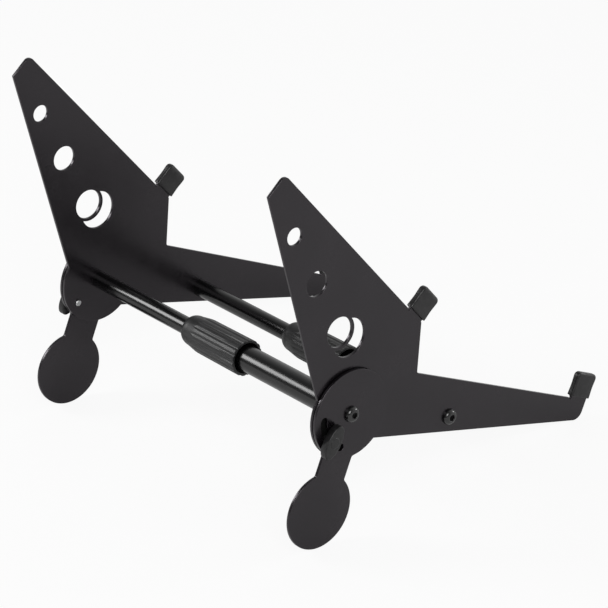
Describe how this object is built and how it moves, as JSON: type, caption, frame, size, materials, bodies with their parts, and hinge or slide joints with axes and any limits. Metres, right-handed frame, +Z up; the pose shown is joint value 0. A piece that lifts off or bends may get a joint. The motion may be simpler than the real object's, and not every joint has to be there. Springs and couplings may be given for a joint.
{
  "type": "desktop gear stand",
  "caption": "Two-tier desktop stand: a pair of sheet-metal wings on telescopic twist-lock tubes, with rubber-capped lips and hooks and lockable swinging feet.",
  "frame": {"origin": "on the ground, under the middle of the stand's bounding box", "axes": "+X across the stand along the tubes towards the wing that slides, -Y to the front where the hooks are, +Z up"},
  "size_m": [0.386, 0.381, 0.3615],
  "materials": {
    "powder_coat": "satin black powder coat",
    "tube_gloss": "glossy black enamel",
    "screw_black": "glossy black oxide",
    "rubber_cap": "matte moulded rubber",
    "sleeve_grip": "matte charcoal moulded plastic",
    "nylon_black": "moulded nylon",
    "knob_plastic": "satin moulded plastic",
    "fibre_disc": "pressed fibre",
    "zinc_steel": "bright zinc plating"
  },
  "bodies": {
    "left_side": {"wing_plate_left": "powder_coat", "lip_cap_left": "rubber_cap", "hook_cap_left": "rubber_cap", "friction_disc_left": "fibre_disc", "pivot_screw_left": "screw_black", "arm_screw_left": "screw_black", "tube_plug_rear_left": "zinc_steel", "tube_plug_front_left": "zinc_steel", "outer_tube_rear": "tube_gloss", "outer_tube_front": "tube_gloss", "clamp_collet_rear": "nylon_black", "clamp_collet_front": "nylon_black"},
    "right_side": {"wing_plate_right": "powder_coat", "lip_cap_right": "rubber_cap", "hook_cap_right": "rubber_cap", "friction_disc_right": "fibre_disc", "pivot_screw_right": "screw_black", "arm_screw_right": "screw_black", "tube_plug_rear_right": "zinc_steel", "tube_plug_front_right": "zinc_steel", "inner_tube_rear": "tube_gloss", "inner_tube_front": "tube_gloss", "guide_bush_rear": "nylon_black", "guide_bush_front": "nylon_black"},
    "leg_left": {"leg_plate_left": "powder_coat"},
    "leg_right": {"leg_plate_right": "powder_coat"},
    "knob_left": {"wing_knob_left": "knob_plastic", "knob_stud_left": "zinc_steel"},
    "knob_right": {"wing_knob_right": "knob_plastic", "knob_stud_right": "zinc_steel"},
    "clamp_rear": {"clamp_sleeve_rear": "sleeve_grip"},
    "clamp_front": {"clamp_sleeve_front": "sleeve_grip"}
  },
  "joints": [
    {"name": "width_slide", "type": "slide", "parent": "left_side", "child": "right_side", "axis": [1, 0, 0], "range_m": [-0.12, 0.028]},
    {"name": "leg_left_swing", "type": "hinge", "parent": "left_side", "child": "leg_left", "pos_m": [-0.183, 0.11285, 0.11743], "axis": [1, 0, 0], "range_deg": [-36, 36]},
    {"name": "leg_right_swing", "type": "hinge", "parent": "right_side", "child": "leg_right", "pos_m": [0.183, 0.11285, 0.11743], "axis": [1, 0, 0], "range_deg": [-36, 36]},
    {"name": "knob_left_turn", "type": "hinge", "parent": "left_side", "child": "knob_left", "pos_m": [-0.183, 0.14023, 0.1029], "axis": [-1, 0, 0], "range_deg": [0, 360]},
    {"name": "knob_right_turn", "type": "hinge", "parent": "right_side", "child": "knob_right", "pos_m": [0.183, 0.14023, 0.1029], "axis": [1, 0, 0], "range_deg": [0, 360]},
    {"name": "clamp_rear_twist", "type": "hinge", "parent": "left_side", "child": "clamp_rear", "pos_m": [0, 0.11285, 0.11743], "axis": [1, 0, 0], "range_deg": [0, 180]},
    {"name": "clamp_front_twist", "type": "hinge", "parent": "left_side", "child": "clamp_front", "pos_m": [0, -0.00493, 0.06671], "axis": [1, 0, 0], "range_deg": [0, 180]}
  ]
}
